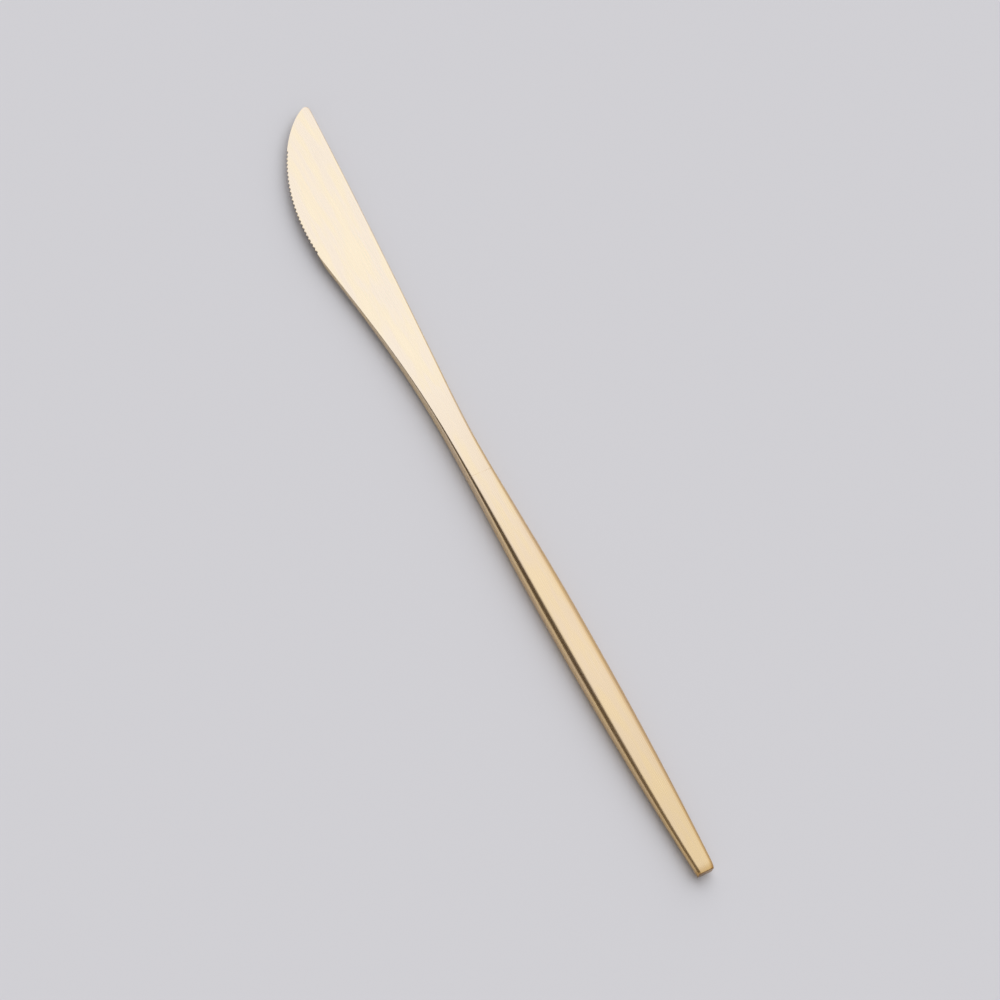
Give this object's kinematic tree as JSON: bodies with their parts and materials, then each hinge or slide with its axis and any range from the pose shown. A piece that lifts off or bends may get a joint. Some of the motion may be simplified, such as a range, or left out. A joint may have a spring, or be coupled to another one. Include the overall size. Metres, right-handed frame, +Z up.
{
  "type": "table knife",
  "caption": "Slim table knife with a short serrated blade, a long tapering neck and a swelling hollow handle, in satin champagne-gold steel.",
  "frame": {"origin": "on the rest flat under the thickest part of the handle, on the handle's axis", "axes": "+X along the handle's axis from the blade to the butt, -Y towards the cutting edge, +Z up from the surface that the knife lies on, square to the blade's broad side"},
  "size_m": [0.23, 0.0183, 0.0049],
  "materials": {
    "blade_steel": "satin",
    "handle_steel": "satin",
    "braze": "satin",
    "cement": "matte"
  },
  "bodies": {
    "root": {"blade": "blade_steel", "upper_handle_shell": "handle_steel", "lower_handle_shell": "handle_steel", "seam_braze": "braze", "mouth_braze": "braze", "handle_cement": "cement"}
  },
  "joints": []
}
